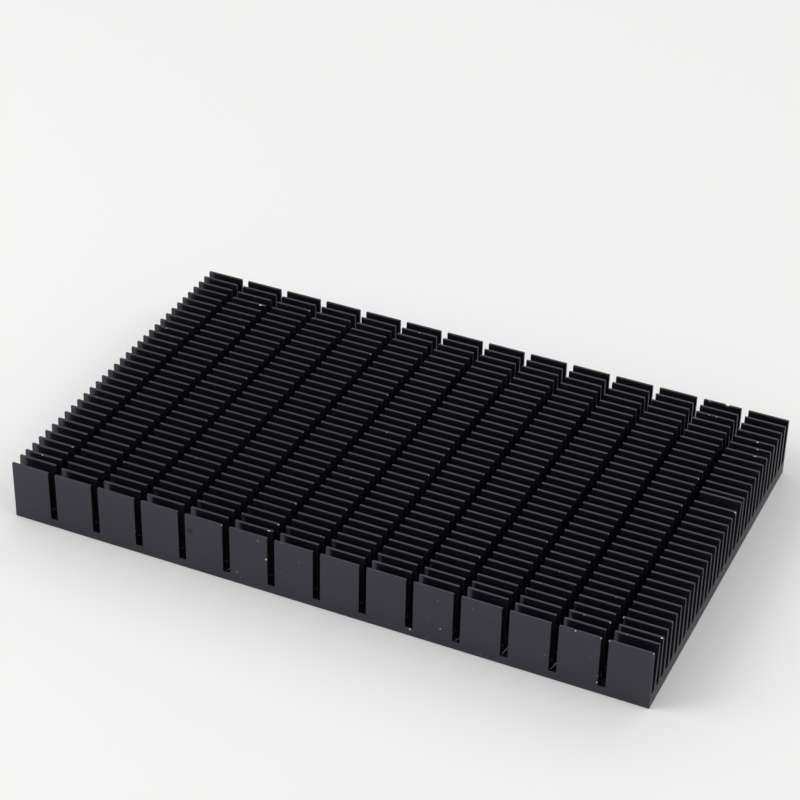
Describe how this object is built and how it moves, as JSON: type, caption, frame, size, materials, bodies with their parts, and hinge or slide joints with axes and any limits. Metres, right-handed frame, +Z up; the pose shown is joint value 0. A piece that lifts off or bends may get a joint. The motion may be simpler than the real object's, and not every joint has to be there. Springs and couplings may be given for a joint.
{
  "type": "pin fin heat sink",
  "caption": "Flat rectangular black anodised aluminium heat sink: a solid base plate with thin upright fins, cross-cut by saw slots into a dense field of flat pins.",
  "frame": {"origin": "centre of the flat underside of the base plate", "axes": "+X along the length, parallel to the fins; +Y across the fins, from the front fin to the rear fin; +Z up, from the underside to the crowns of the pins"},
  "size_m": [0.15, 0.092, 0.0145],
  "materials": {
    "black_anodised_aluminium": "satin black anodised extrusion, with bare metal at a few chipped pin corners"
  },
  "bodies": {
    "root": {"heat_sink": "black_anodised_aluminium"}
  },
  "joints": []
}
